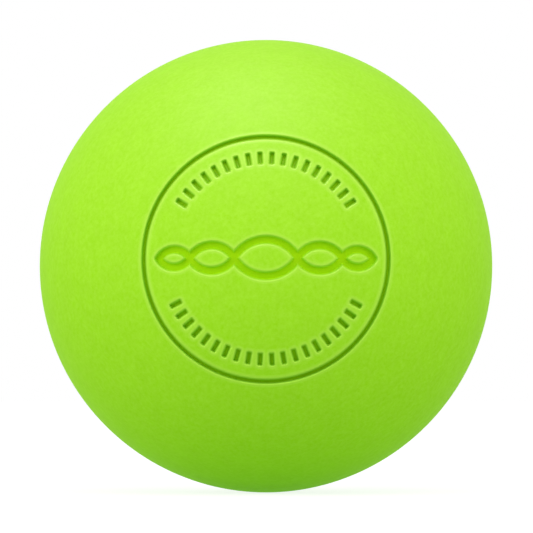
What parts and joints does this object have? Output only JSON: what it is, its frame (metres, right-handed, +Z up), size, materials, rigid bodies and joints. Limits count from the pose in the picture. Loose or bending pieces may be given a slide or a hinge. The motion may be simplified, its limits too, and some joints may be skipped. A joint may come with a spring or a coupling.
{
  "type": "lacrosse ball",
  "caption": "Solid rubber lacrosse ball: a matt lime-green cover cured over a rubber core, with a ring, arcs of fine bars and a twist pressed into its front.",
  "frame": {"origin": "centre of the ball", "axes": "-Y out through the middle of the pressed mark, which is the front; +Z up with the mark upright; +X to the right as seen from the front. The cover halves meet on the plane Y = 0."},
  "size_m": [0.0634, 0.0636, 0.0634],
  "materials": {
    "core_rubber": "plain tan rubber, out of sight",
    "cover_rubber": "matt lime-green rubber with a fine dry grain"
  },
  "bodies": {
    "root": {"core": "core_rubber", "front_cover": "cover_rubber", "rear_cover": "cover_rubber"}
  },
  "joints": []
}
